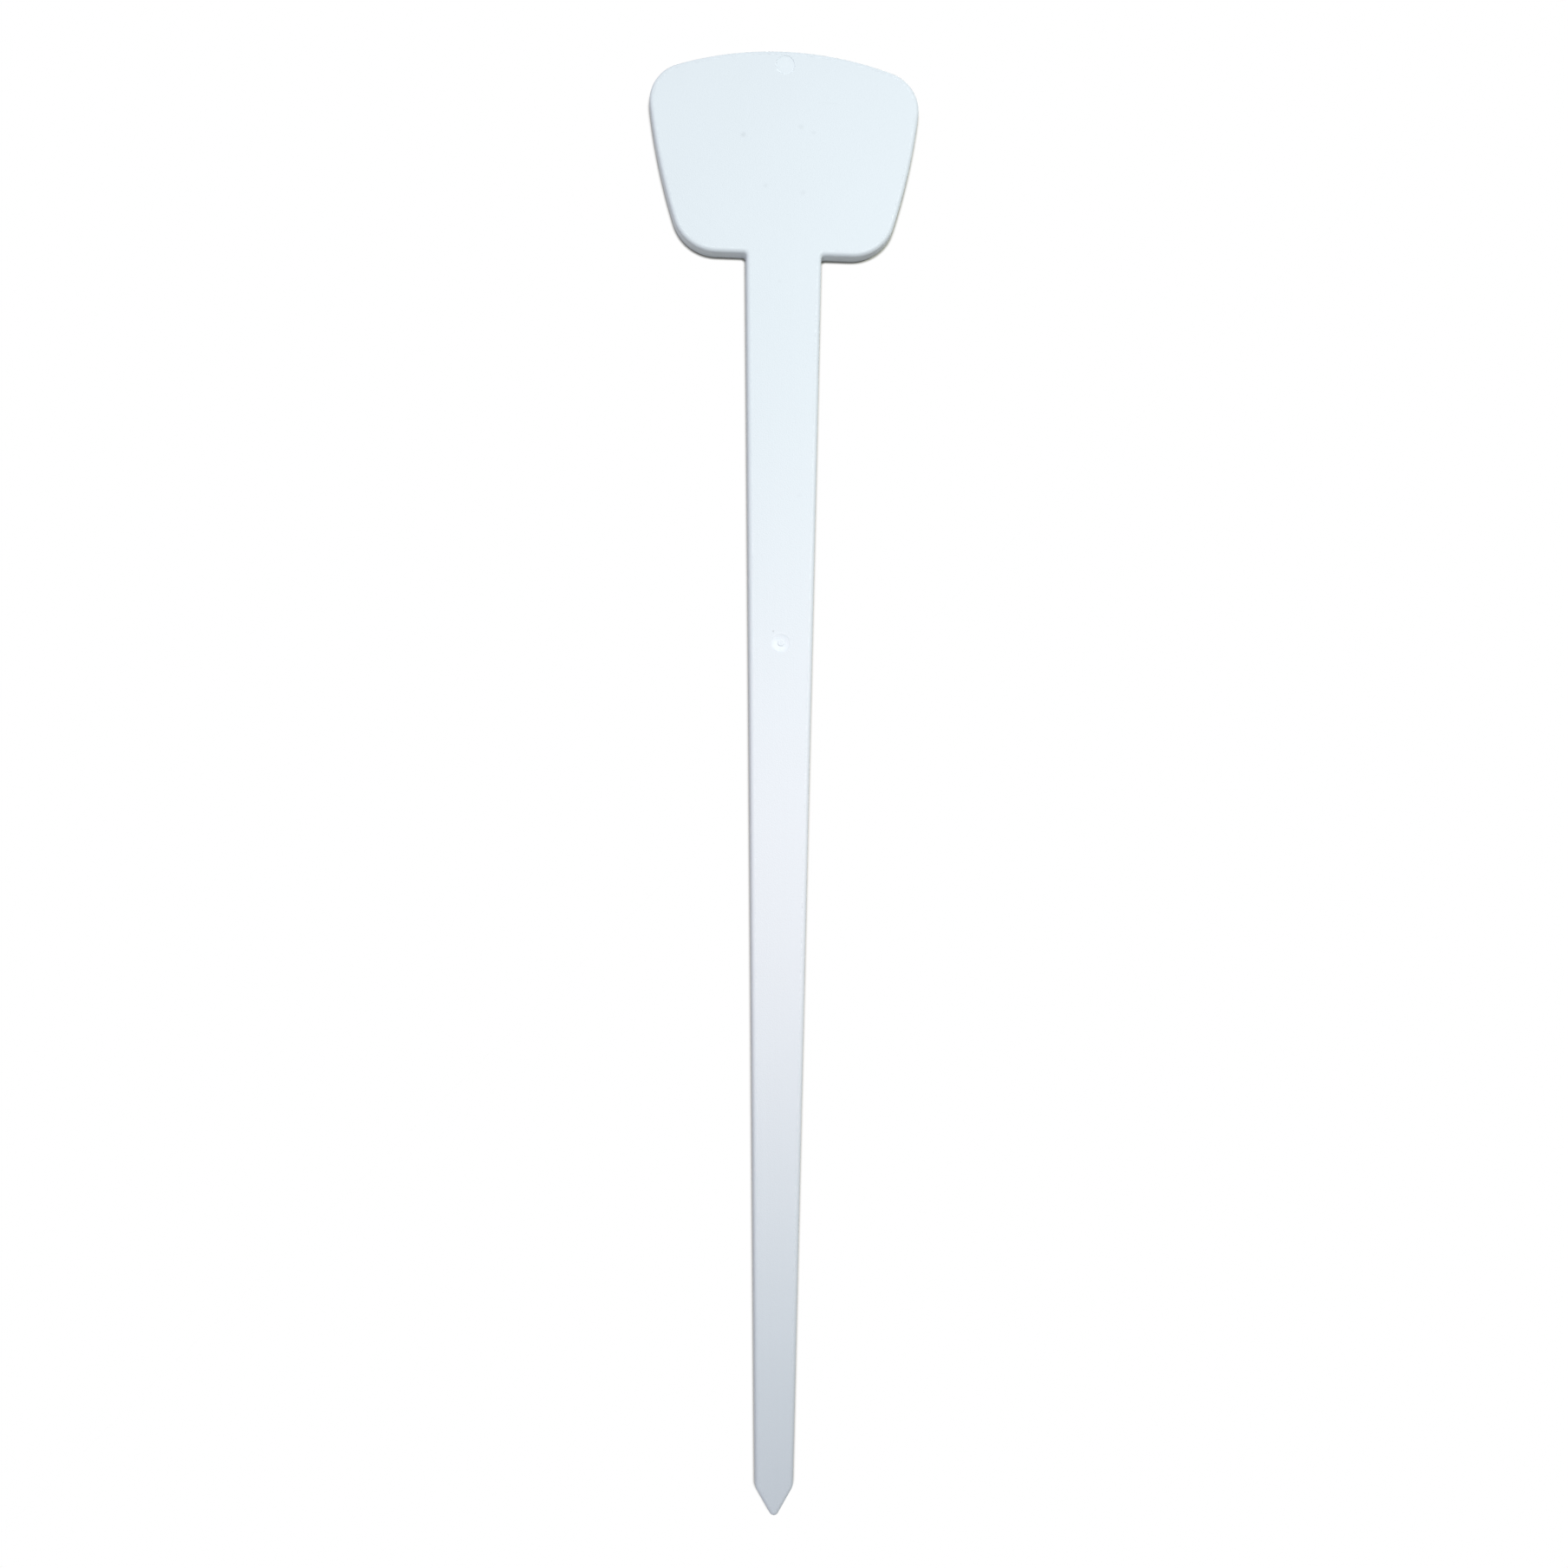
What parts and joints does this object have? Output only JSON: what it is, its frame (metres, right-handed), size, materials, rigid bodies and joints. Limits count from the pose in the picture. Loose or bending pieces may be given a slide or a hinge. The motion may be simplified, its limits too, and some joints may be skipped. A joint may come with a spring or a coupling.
{
  "type": "plant label stake",
  "caption": "Flat white plastic plant label: a rounded, flared writing head on a long tapering stem with a bevelled point, moulded in one piece.",
  "frame": {"origin": "on the flat back, halfway along the stake and on its centre line", "axes": "+Y along the stake from its point to its crown, +Z out of the writing face, +X across the stake"},
  "size_m": [0.047, 0.25, 0.0026],
  "materials": {
    "white_plastic": "smooth satin, slightly bluish white"
  },
  "bodies": {
    "root": {"label_stake": "white_plastic"}
  },
  "joints": []
}
